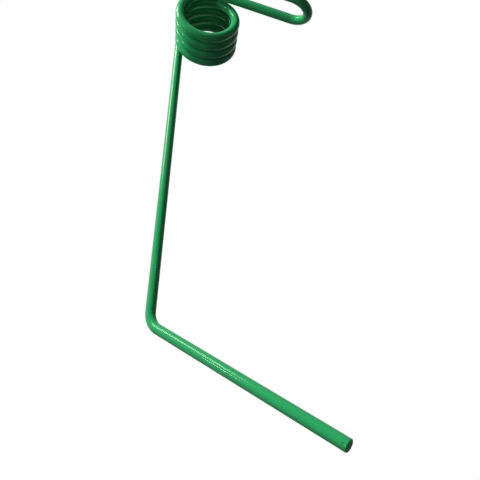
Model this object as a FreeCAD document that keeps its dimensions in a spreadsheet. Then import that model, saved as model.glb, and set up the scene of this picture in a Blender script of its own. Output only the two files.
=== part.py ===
import FreeCAD, Part
import math
import os

# Cultivator spring tine: one length of round spring-steel wire.
# It is wound into a close left-hand coil; one end runs down as the leg and kicks forward as the foot,
# the other runs out as a hairpin eye that is clamped under a bolt.
# Frame: millimetres, coil axis along Y, leg hanging down -Z, eye and foot reaching to +X,
# origin on the bolt centre in the closed end of the eye.

doc = FreeCAD.newDocument("spring_tine")

# Driving dimensions -------------------------------------------------------------------------------
DIMS = {
    "wire": 8,              # wire diameter
    "coil_radius": 24.5,    # centre of the wire to the coil axis: 41 mm inside diameter
    "pitch": 9.2,           # advance per turn: 1.2 mm of air between turns
    "wound": 1550,          # degrees of winding between the two arms
    "leg": 255,             # straight run from the coil to the foot bend
    "foot_bend": 16,        # centre-line radius of the foot bend
    "foot_angle": 63,       # how far the foot kicks out of the leg's line
    "foot_turn": 38.5,      # how far the bend's plane is turned towards the eye end of the coil
    "foot": 157,            # straight run of the foot, to the cut end
    "eye_arm": 67.5,        # straight run from the coil to the eye
    "eye_bend": 15,         # centre-line radius of the eye: 22 mm between its arms
    "eye_turn": 20,         # how far the eye's plane is turned out of the coil's length
    "eye_return": 45,       # straight run of the free arm
    "end_round": 0.8,       # rolled rim of the sheared ends
    "nick_back": 2.1,       # nick in the foot, behind its cut end
    "nick_turn": 88,        # where the nick sits round the wire
    "nick_long": 1.1,       # half its length
    "nick_wide": 0.55,      # half its width
    "nick_deep": 0.35,      # its depth
}
dims = doc.addObject("Spreadsheet::Sheet", "dims")
for row, (name, value) in enumerate(DIMS.items(), start=1):
    dims.set(f"A{row}", name)
    dims.set(f"B{row}", str(value))
    dims.setAlias(f"B{row}", name)
last = len(DIMS) + 1
dims.set(f"A{last}", "lead")
dims.set(f"B{last}", "=atan(pitch / (2 * pi * coil_radius)) / 1deg")
dims.setAlias(f"B{last}", "lead")
doc.recompute()

FLIP = "rotation(vector(0; 1; 1); 180)"     # swaps a run's frame for a bend's frame and back


def run(name, start, length):
    """Straight stretch of wire: starts at its placement and travels along its own Z."""
    bar = doc.addObject("Part::Cylinder", name)
    bar.setExpression("Radius", "dims.wire / 2")
    bar.setExpression("Height", f"dims.{length}")
    bar.setExpression("Placement", start)
    return bar


def bend(name, before, length, turn, radius, angle):
    """Bend that follows a run tangentially; turn swings its centre round the run's own X."""
    ring = doc.addObject("Part::Torus", name)
    ring.setExpression("Radius1", f"dims.{radius}")
    ring.setExpression("Radius2", "dims.wire / 2")
    ring.setExpression("Angle3", angle)
    ring.setExpression(
        "Placement",
        f"{before}.Placement * placement(vector(0; 0; dims.{length}); rotationz({turn}))"
        f" * placement(vector(dims.{radius}; 0; 0); {FLIP})",
    )
    return ring


def after(name, radius, angle):
    """Placement of the run that leaves a bend."""
    return (
        f"{name}.Placement * placement(vector(0; 0; 0); rotationz({angle}))"
        f" * placement(vector(dims.{radius}; 0; 0); {FLIP})"
    )


def sheared(name, bar):
    """Rolls the rim over at the far end of a run, as the shear leaves it."""
    end = FreeCAD.Vector(0, 0, bar.Height.Value)
    end = bar.Placement.multVec(end)
    rims = [
        number
        for number, edge in enumerate(bar.Shape.Edges, start=1)
        if edge.Closed and edge.CenterOfMass.distanceToPoint(end) < 1e-6
    ]
    rounded = doc.addObject("Part::Fillet", name)
    rounded.Base = bar
    rounded.Edges = [(rims[0], DIMS["end_round"], DIMS["end_round"])]
    return rounded


# Coil: wire drawn along a left-hand helix, the leg's end at the far side (+Y) -----------------------
helix = doc.addObject("Part::Helix", "coil_path")
helix.LocalCoord = "Left-handed"
helix.setExpression("Radius", "dims.coil_radius")
helix.setExpression("Pitch", "dims.pitch")
helix.setExpression("Height", "dims.pitch * dims.wound / 360")
helix.setExpression("Placement", "placement(vector(0; 0; 0); rotationx(90) * rotationz(180))")

section = doc.addObject("Part::Circle", "coil_section")
section.setExpression("Radius", "dims.wire / 2")
section.setExpression(
    "Placement",
    "coil_path.Placement * placement(vector(dims.coil_radius; 0; 0); rotationx(90 - dims.lead))",
)
doc.recompute()

coil = doc.addObject("Part::Sweep", "coil")
coil.Sections = [section]
coil.Spine = (helix, [f"Edge{n}" for n in range(1, len(helix.Shape.Edges) + 1)])
coil.Solid = True
coil.Frenet = True

# Leg and foot --------------------------------------------------------------------------------------
leg = run(
    "leg_run",
    "coil_path.Placement * placement(vector(dims.coil_radius; 0; 0); rotationx(-90 - dims.lead))",
    "leg",
)
knee = bend("foot_bend", "leg_run", "leg", "180 + dims.foot_turn", "foot_bend", "dims.foot_angle")
foot = run("foot_run", after("foot_bend", "foot_bend", "dims.foot_angle"), "foot")

# Hairpin eye ---------------------------------------------------------------------------------------
arm = run(
    "eye_arm",
    "coil_path.Placement * placement(vector(0; 0; dims.pitch * dims.wound / 360);"
    " rotationz(-dims.wound)) * placement(vector(dims.coil_radius; 0; 0); rotationx(90 - dims.lead))",
    "eye_arm",
)
eye = bend("eye_bend", "eye_arm", "eye_arm", "90 + dims.eye_turn", "eye_bend", "180")
free_arm = run("eye_return", after("eye_bend", "eye_bend", "180"), "eye_return")
doc.recompute()

foot_end = sheared("foot_end", foot)
eye_end = sheared("eye_end", free_arm)
doc.recompute()

# Nick struck in the foot just behind its cut end -----------------------------------------------------
nick = doc.addObject("Part::Ellipsoid", "nick")
nick.setExpression("Radius1", "dims.nick_deep")
nick.setExpression("Radius2", "dims.nick_long")
nick.setExpression("Radius3", "dims.nick_wide")
nick.setExpression(
    "Placement",
    "foot_run.Placement * placement(vector(0; 0; dims.foot - dims.nick_back); rotationz(dims.nick_turn))"
    " * placement(vector(dims.wire / 2; 0; 0); rotationy(90))",
)

# The whole wire, moved so that the bolt centre is the origin ------------------------------------------
wire = doc.addObject("Part::MultiFuse", "wire_length")
wire.Shapes = [coil, leg, knee, foot_end, arm, eye, eye_end]
doc.recompute()

tine = doc.addObject("Part::Cut", "spring_tine")
tine.Label = "spring_tine"
tine.Base = wire
tine.Tool = nick
tine.setExpression("Placement.Base", "-1 * eye_bend.Placement.Base")
doc.recompute()

for obj in doc.Objects:
    if "Invalid" in obj.State or "Error" in obj.State:
        raise RuntimeError(f"{obj.Label}: {obj.State}")
    if hasattr(obj, "Shape") and (obj.Shape.isNull() or not obj.Shape.isValid()):
        raise RuntimeError(f"{obj.Label}: bad shape")

os.makedirs("parts", exist_ok=True)
tine.Shape.exportStep("parts/spring_tine.step")
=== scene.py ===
import math

import bpy
from mathutils import Matrix, Quaternion, Vector, noise


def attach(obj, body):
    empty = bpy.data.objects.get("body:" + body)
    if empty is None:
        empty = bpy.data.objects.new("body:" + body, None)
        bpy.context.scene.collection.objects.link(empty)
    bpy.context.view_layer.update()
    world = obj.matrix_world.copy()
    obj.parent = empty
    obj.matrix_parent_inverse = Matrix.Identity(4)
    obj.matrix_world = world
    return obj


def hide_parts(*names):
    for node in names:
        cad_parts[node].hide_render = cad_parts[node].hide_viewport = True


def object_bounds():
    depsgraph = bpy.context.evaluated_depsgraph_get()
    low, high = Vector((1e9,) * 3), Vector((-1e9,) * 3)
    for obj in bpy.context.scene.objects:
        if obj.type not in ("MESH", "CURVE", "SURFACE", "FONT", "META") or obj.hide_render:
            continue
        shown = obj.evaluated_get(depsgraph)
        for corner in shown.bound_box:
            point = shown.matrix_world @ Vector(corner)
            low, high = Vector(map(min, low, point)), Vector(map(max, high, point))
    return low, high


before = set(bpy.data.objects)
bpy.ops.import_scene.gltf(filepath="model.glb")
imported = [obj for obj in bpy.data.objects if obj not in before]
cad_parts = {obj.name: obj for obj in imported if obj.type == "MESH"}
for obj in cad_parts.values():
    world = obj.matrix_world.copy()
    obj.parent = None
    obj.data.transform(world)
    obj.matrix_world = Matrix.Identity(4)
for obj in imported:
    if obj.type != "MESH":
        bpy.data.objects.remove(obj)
cad_low, cad_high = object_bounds()


# The wire -----------------------------------------------------------------------------------------
# The whole tine is one length of 8 mm round spring-steel wire. It is wound cold round a mandrel into a
# close left-hand coil; the leg and foot follow from one end, and a hairpin eye for the clamp bolt from
# the other. Both ends are cropped in a shear.

wire_radius = 0.004
coil_radius = 0.0245        # coil axis to the middle of the wire
pitch = 0.0092
wound = math.radians(1550)
leg_length = 0.255
foot_bend_radius = 0.016
foot_bend_angle = math.radians(63)
foot_turn = math.radians(38.5)
foot_length = 0.157
arm_length = 0.0675
eye_radius = 0.015
eye_turn = math.radians(20)
free_arm_length = 0.045
rim_round = 0.0008          # rolled edge that the shear leaves

coarse_step = 0.0012        # distance between rings along the wire
bend_step = 0.00096         # the same round the bends
fine_step = 0.00022         # the same close to the cut end of the foot
fine_length = 0.006
sides = 64


def straight(start, heading, length, step=coarse_step):
    """Points after start along a straight stretch of wire."""
    count = max(1, math.ceil(length / step))
    return [start + heading * (length * n / count) for n in range(1, count + 1)]


def bent(start, heading, towards, radius, angle):
    """Points after start round a bend, with the heading that leaves it. towards points at its centre."""
    count = math.ceil(radius * angle / bend_step)
    centre = start + towards * radius
    points = []
    for n in range(1, count + 1):
        turn = angle * n / count
        points.append(centre - towards * radius * math.cos(turn) + heading * radius * math.sin(turn))
    leaving = heading * math.cos(angle) + towards * math.sin(angle)
    return points, leaving


def on_coil(turned):
    """A point of the coil's centre line, before the tine is moved to its own origin."""
    angle = math.pi - turned
    return Vector((
        coil_radius * math.cos(angle),
        -pitch * turned / math.tau,
        coil_radius * math.sin(angle),
    ))


def along_coil(turned):
    """The wire's heading there, towards the eye."""
    angle = math.pi - turned
    return Vector((
        coil_radius * math.sin(angle),
        -pitch / math.tau,
        -coil_radius * math.cos(angle),
    )).normalized()


# From the coil down the leg, round the foot bend and out to the cut end.
down = -along_coil(0)
outward = Vector((1, 0, 0))
kick = Quaternion(down, foot_turn) @ outward
leg_points = straight(on_coil(0), down, leg_length)
bend_points, foot_heading = bent(leg_points[-1], down, kick, foot_bend_radius, foot_bend_angle)
bend_axis = down.cross(kick)
foot_points = straight(bend_points[-1], foot_heading, foot_length - fine_length)
foot_points += straight(foot_points[-1], foot_heading, fine_length - rim_round, fine_step)

# From the coil out along the eye's arm, round the eye and back along the free arm.
arm_heading = along_coil(wound)
coil_axis = Vector((0, -1, 0))
across = (coil_axis - arm_heading * coil_axis.dot(arm_heading)).normalized()
eye_side = Quaternion(arm_heading, eye_turn) @ across
arm_points = straight(on_coil(wound), arm_heading, arm_length)
eye_points, free_heading = bent(arm_points[-1], arm_heading, eye_side, eye_radius, math.pi)
free_points = straight(eye_points[-1], free_heading, free_arm_length - rim_round)

coil_count = math.ceil(coil_radius * wound / coarse_step)
coil_points = [on_coil(wound * n / coil_count) for n in range(coil_count + 1)]

bolt_centre = arm_points[-1] + eye_side * eye_radius
centre_line = list(reversed(arm_points + eye_points + free_points)) + list(reversed(coil_points))
centre_line += leg_points + bend_points + foot_points
centre_line = [point - bolt_centre for point in centre_line]


# The skin of the wire -----------------------------------------------------------------------------
# Round wire with a faint unevenness under the coat. Each cropped end has a rolled rim round a rough face,
# and the foot has one small nick with a raised lip just behind its end, struck there in handling.

nick_back = 0.0021
nick_place = math.radians(88)
nick_half_length = 0.0011
nick_half_width = 0.00055
nick_depth = 0.00035
nick_lip = 0.00006
lip_place = 1.25            # the lip's crest, in half lengths of the nick
lip_width = 0.3
nicked_length = 0.004       # stretch of the foot that the nick and its lip can reach

broad_waver = 0.000022      # how far each waver of the surface reaches, and how close it is set
broad_spacing = 85
fine_waver = 0.000010
fine_spacing = 310
tear_depth = 0.00004
tear_across = 2600
tear_along = 500
rim_rings = 6
rim_bareness = 0.12         # how much barer each ring of the rim is than the one before
face_rings = (0.93, 0.8, 0.6, 0.4, 0.2, 0.06)       # shares of the flat face's radius
gathered_length = 0.014     # the foot's last stretch, where points draw together towards the nick
full_gather = 0.72

inner_side = kick * math.cos(foot_bend_angle) - down * math.sin(foot_bend_angle)
nick_normal = inner_side * math.cos(nick_place) + bend_axis * math.sin(nick_place)
foot_end = bend_points[-1] + foot_heading * foot_length - bolt_centre
nick_middle = foot_end - foot_heading * nick_back


def unevenness(point):
    """How far the coated surface stands off a true cylinder."""
    broad = broad_waver * noise.noise(point * broad_spacing)
    fine = fine_waver * noise.noise(point * fine_spacing)
    return broad + fine


def nicked(point, outwards):
    """How far the nick sinks the surface, or its lip lifts it."""
    around = wire_radius * outwards.angle(nick_normal)
    along = (point - nick_middle).dot(foot_heading)
    reach = math.hypot(along / nick_half_length, around / nick_half_width)
    sunk = nick_depth * math.sqrt(1 - reach * reach) if reach < 1 else 0
    return nick_lip * math.exp(-((reach - lip_place) / lip_width) ** 2) - sunk


headings = []
for n in range(len(centre_line)):
    before = centre_line[max(n - 1, 0)]
    beyond = centre_line[min(n + 1, len(centre_line) - 1)]
    headings.append((beyond - before).normalized())

side_ways = []
side_way = headings[0].orthogonal().normalized()
for n, heading in enumerate(headings):
    if n:
        side_way = headings[n - 1].rotation_difference(heading) @ side_way
    side_way = (side_way - heading * side_way.dot(heading)).normalized()
    side_ways.append(side_way)

last_cross = headings[-1].cross(side_ways[-1])
nick_angle = math.atan2(nick_normal.dot(last_cross), nick_normal.dot(side_ways[-1]))


def ring(middle, heading, side_way, radius, gather=0.0, near_nick=False):
    """One ring of surface points. gather draws them together towards the nick."""
    cross = heading.cross(side_way)
    surface = []
    for n in range(sides):
        angle = math.tau * n / sides
        angle -= gather * math.sin(angle - nick_angle)
        outwards = side_way * math.cos(angle) + cross * math.sin(angle)
        point = middle + outwards * radius
        lift = unevenness(point) * radius / wire_radius
        if near_nick:
            lift += nicked(point, outwards)
        surface.append(point + outwards * lift)
    return surface


def cropped_end(middle, heading, side_way, outward_heading, gather):
    """The rolled rim and the torn face beyond the last full ring: each ring, with how bare its steel is."""
    rings = []
    for step in range(1, rim_rings + 1):
        roll = math.pi / 2 * step / rim_rings
        radius = wire_radius - rim_round + rim_round * math.cos(roll)
        rim_middle = middle + outward_heading * (rim_round * math.sin(roll))
        rings.append((ring(rim_middle, heading, side_way, radius, gather), rim_bareness * step))
    face = middle + outward_heading * rim_round
    cross = heading.cross(side_way)
    for share in face_rings:
        surface = ring(face, heading, side_way, (wire_radius - rim_round) * share, gather)
        for n, point in enumerate(surface):
            offset = point - face
            # The shear drags the tear one way, so the noise is finer across it than along it.
            torn = Vector((offset.dot(side_way) * tear_across, offset.dot(cross) * tear_along, 3.0))
            surface[n] = point + outward_heading * (tear_depth * noise.noise(torn))
        rings.append((surface, 1.0))
    return rings


# The skin runs from the middle of the free arm's cropped face to the middle of the foot's.
rings = cropped_end(centre_line[0], headings[0], side_ways[0], -headings[0], 0.0)
rings.reverse()

to_foot_end = [0.0]
for n in range(len(centre_line) - 1, 0, -1):
    to_foot_end.append(to_foot_end[-1] + (centre_line[n] - centre_line[n - 1]).length)
to_foot_end.reverse()
for n, middle in enumerate(centre_line):
    gather = full_gather * math.sqrt(max(0.0, 1 - to_foot_end[n] / gathered_length))
    near_nick = to_foot_end[n] < nicked_length
    rings.append((ring(middle, headings[n], side_ways[n], wire_radius, gather, near_nick), 0.0))
rings += cropped_end(centre_line[-1], headings[-1], side_ways[-1], headings[-1], full_gather)

points = []
bareness = []
for surface, bare_share in rings:
    points.extend(surface)
    bareness.extend([bare_share] * sides)

faces = []
for n in range(len(rings) - 1):
    for k in range(sides):
        after_k = (k + 1) % sides
        faces.append((n * sides + k, n * sides + after_k, (n + 1) * sides + after_k, (n + 1) * sides + k))
faces.append(tuple(reversed(range(sides))))
faces.append(tuple(range(len(points) - sides, len(points))))

tine_mesh = bpy.data.meshes.new("spring_tine_wire")
tine_mesh.from_pydata(points, [], faces)
tine_mesh.shade_smooth()
bare_mark = tine_mesh.attributes.new("bare_steel", "FLOAT", "POINT")
bare_mark.data.foreach_set("value", bareness)
tine_mesh.update()
tine = bpy.data.objects.new("spring_tine_wire", tine_mesh)
bpy.context.scene.collection.objects.link(tine)


# The coat and the bare ends -----------------------------------------------------------------------
# Gloss green powder coat, baked on, about 0.1 mm thick: a fine orange peel, and slight changes of colour
# and gloss. The cropped faces are matt, dark torn steel.

coat = bpy.data.materials.new("green_powder_coat")
coat.use_nodes = True
nodes = coat.node_tree.nodes
links = coat.node_tree.links
shader = nodes["Principled BSDF"]
shader.inputs["IOR"].default_value = 1.5
shader.inputs["Specular IOR Level"].default_value = 0.09

place = nodes.new("ShaderNodeTexCoord")


def cloud(scale, detail=3.0, roughness=0.55):
    """A soft noise over the wire, in object space."""
    texture = nodes.new("ShaderNodeTexNoise")
    texture.inputs["Scale"].default_value = scale
    texture.inputs["Detail"].default_value = detail
    texture.inputs["Roughness"].default_value = roughness
    links.new(place.outputs["Object"], texture.inputs["Vector"])
    return texture.outputs["Fac"]


def spread(value, low, high):
    """Runs a 0 to 1 noise between two values."""
    stretch = nodes.new("ShaderNodeMapRange")
    stretch.inputs["From Min"].default_value = 0.3
    stretch.inputs["From Max"].default_value = 0.7
    stretch.inputs["To Min"].default_value = low
    stretch.inputs["To Max"].default_value = high
    links.new(value, stretch.inputs["Value"])
    return stretch.outputs["Result"]


def blended(share, first, second):
    """Mixes two colours, each a plain colour or another node's output."""
    mix = nodes.new("ShaderNodeMix")
    mix.data_type = "RGBA"
    # On a colour mix, inputs 6 and 7 are the two colours and output 2 is their mix.
    for socket, colour in ((mix.inputs[6], first), (mix.inputs[7], second)):
        if isinstance(colour, tuple):
            socket.default_value = (*colour, 1.0)
        else:
            links.new(colour, socket)
    links.new(share, mix.inputs[0])
    return mix.outputs[2]


full_green = (0.014, 0.335, 0.108)
thin_green = (0.022, 0.30, 0.092)
torn_steel = (0.15, 0.21, 0.12)
dark_steel = (0.07, 0.10, 0.06)

bare = nodes.new("ShaderNodeAttribute")
bare.attribute_name = "bare_steel"
edge = nodes.new("ShaderNodeMath")
edge.operation = "ADD"
links.new(bare.outputs["Fac"], edge.inputs[0])
links.new(spread(cloud(2600), -0.15, 0.15), edge.inputs[1])
uncovered = nodes.new("ShaderNodeMapRange")
uncovered.inputs["From Min"].default_value = 0.62
uncovered.inputs["From Max"].default_value = 0.8
links.new(edge.outputs[0], uncovered.inputs["Value"])

green = blended(spread(cloud(45), 0.0, 1.0), full_green, thin_green)
steel = blended(spread(cloud(1900, 5.0), 0.0, 1.0), dark_steel, torn_steel)
links.new(blended(uncovered.outputs["Result"], green, steel), shader.inputs["Base Color"])

gloss = nodes.new("ShaderNodeMix")
links.new(uncovered.outputs["Result"], gloss.inputs[0])
links.new(spread(cloud(120), 0.10, 0.16), gloss.inputs[2])
gloss.inputs[3].default_value = 0.62
links.new(gloss.outputs[0], shader.inputs["Roughness"])

peel = nodes.new("ShaderNodeBump")
peel.inputs["Strength"].default_value = 0.2
peel.inputs["Distance"].default_value = 0.00002
links.new(cloud(900, 2.0), peel.inputs["Height"])
links.new(peel.outputs["Normal"], shader.inputs["Normal"])

tine_mesh.materials.append(coat)
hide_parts("spring_tine")
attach(tine, "root")


# The studio ---------------------------------------------------------------------------------------
# A pale matt floor well under the hanging tine, in a white room. One broad lamp lights it from the upper
# left, and two small ones, at its left and in front, draw the thin highlights on the coat.

floor_half = 1.15
floor_level = cad_low.z - 0.11
floor_grey = 0.07           # as the lamps meet it, so that it throws little light back up
floor_white = 0.86          # as it is seen
room_glow = 0.03


def where_seen(nodes, links):
    """1 for a ray from the eye, straight or by way of a shiny or clear surface, and 0 for other light."""
    rays = nodes.new("ShaderNodeLightPath")
    seen = rays.outputs["Is Camera Ray"]
    for kind in ("Is Glossy Ray", "Is Transmission Ray"):
        either = nodes.new("ShaderNodeMath")
        either.operation = "MAXIMUM"
        links.new(seen, either.inputs[0])
        links.new(rays.outputs[kind], either.inputs[1])
        seen = either.outputs[0]
    return seen


floor_mesh = bpy.data.meshes.new("floor")
floor_mesh.from_pydata(
    [(-floor_half, -floor_half, floor_level), (floor_half, -floor_half, floor_level),
     (floor_half, floor_half, floor_level), (-floor_half, floor_half, floor_level)],
    [], [(0, 1, 2, 3)],
)
floor = bpy.data.objects.new("floor", floor_mesh)
bpy.context.scene.collection.objects.link(floor)
pale = bpy.data.materials.new("pale_floor")
pale.use_nodes = True
pale_nodes = pale.node_tree.nodes
pale_links = pale.node_tree.links
pale_shader = pale_nodes["Principled BSDF"]
pale_shader.inputs["Roughness"].default_value = 0.8
shade = pale_nodes.new("ShaderNodeMix")
shade.data_type = "RGBA"
shade.inputs[6].default_value = (floor_grey, floor_grey, floor_grey, 1)
shade.inputs[7].default_value = (floor_white, floor_white, floor_white, 1)
pale_links.new(where_seen(pale_nodes, pale_links), shade.inputs[0])
pale_links.new(shade.outputs[2], pale_shader.inputs["Base Color"])
floor_mesh.materials.append(pale)

room = bpy.data.worlds.new("white_room")
bpy.context.scene.world = room
room.use_nodes = True
room_nodes = room.node_tree.nodes
room_links = room.node_tree.links
room_light = room_nodes["Background"]
room_light.inputs["Color"].default_value = (0.92, 0.97, 1.0, 1)
room_light.inputs["Strength"].default_value = room_glow
white = room_nodes.new("ShaderNodeBackground")
white.inputs["Color"].default_value = (1, 1, 1, 1)
white.inputs["Strength"].default_value = 1.0
swap = room_nodes.new("ShaderNodeMixShader")
room_links.new(where_seen(room_nodes, room_links), swap.inputs[0])
room_links.new(room_light.outputs[0], swap.inputs[1])
room_links.new(white.outputs[0], swap.inputs[2])
room_links.new(swap.outputs[0], room_nodes["World Output"].inputs["Surface"])

middle_of_tine = (cad_low + cad_high) / 2


def lamp(name, offset, size, power, colour):
    """A square soft lamp, offset from the middle of the tine and facing it. power is in watts."""
    light = bpy.data.lights.new(name, "AREA")
    light.size = size
    light.energy = power
    light.color = colour
    holder = bpy.data.objects.new(name, light)
    holder.location = middle_of_tine + Vector(offset)
    holder.rotation_mode = "QUATERNION"
    holder.rotation_quaternion = Vector(offset).to_track_quat("Z", "Y")
    bpy.context.scene.collection.objects.link(holder)


lamp("window_lamp", (-0.85, -0.34, 0.75), 0.5, 24, (1.0, 0.99, 0.95))
lamp("side_lamp", (-0.93, -0.33, 0.0), 0.07, 2.6, (0.82, 0.97, 1.0))
lamp("front_lamp", (0.0, -1.0, 0.2), 0.05, 0.5, (1.0, 1.0, 1.0))


# The camera ---------------------------------------------------------------------------------------
# It stands low in front of the coil's open end and looks up along the leg.

camera_data = bpy.data.cameras.new("camera")
camera_data.sensor_width = 36
camera_data.lens = 36
camera_data.clip_start = 0.01
camera = bpy.data.objects.new("camera", camera_data)
bpy.context.scene.collection.objects.link(camera)
bpy.context.scene.camera = camera
camera_back = Vector((-0.10560, -0.89964, -0.42366))
camera_up = Vector((-0.08136, -0.41680, 0.90535))
camera_right = camera_up.cross(camera_back)
camera.matrix_world = Matrix.Translation((-0.06985, -0.27848, -0.35124)) @ Matrix((
    (camera_right.x, camera_up.x, camera_back.x),
    (camera_right.y, camera_up.y, camera_back.y),
    (camera_right.z, camera_up.z, camera_back.z),
)).to_4x4()

bpy.context.scene.view_settings.view_transform = "Standard"
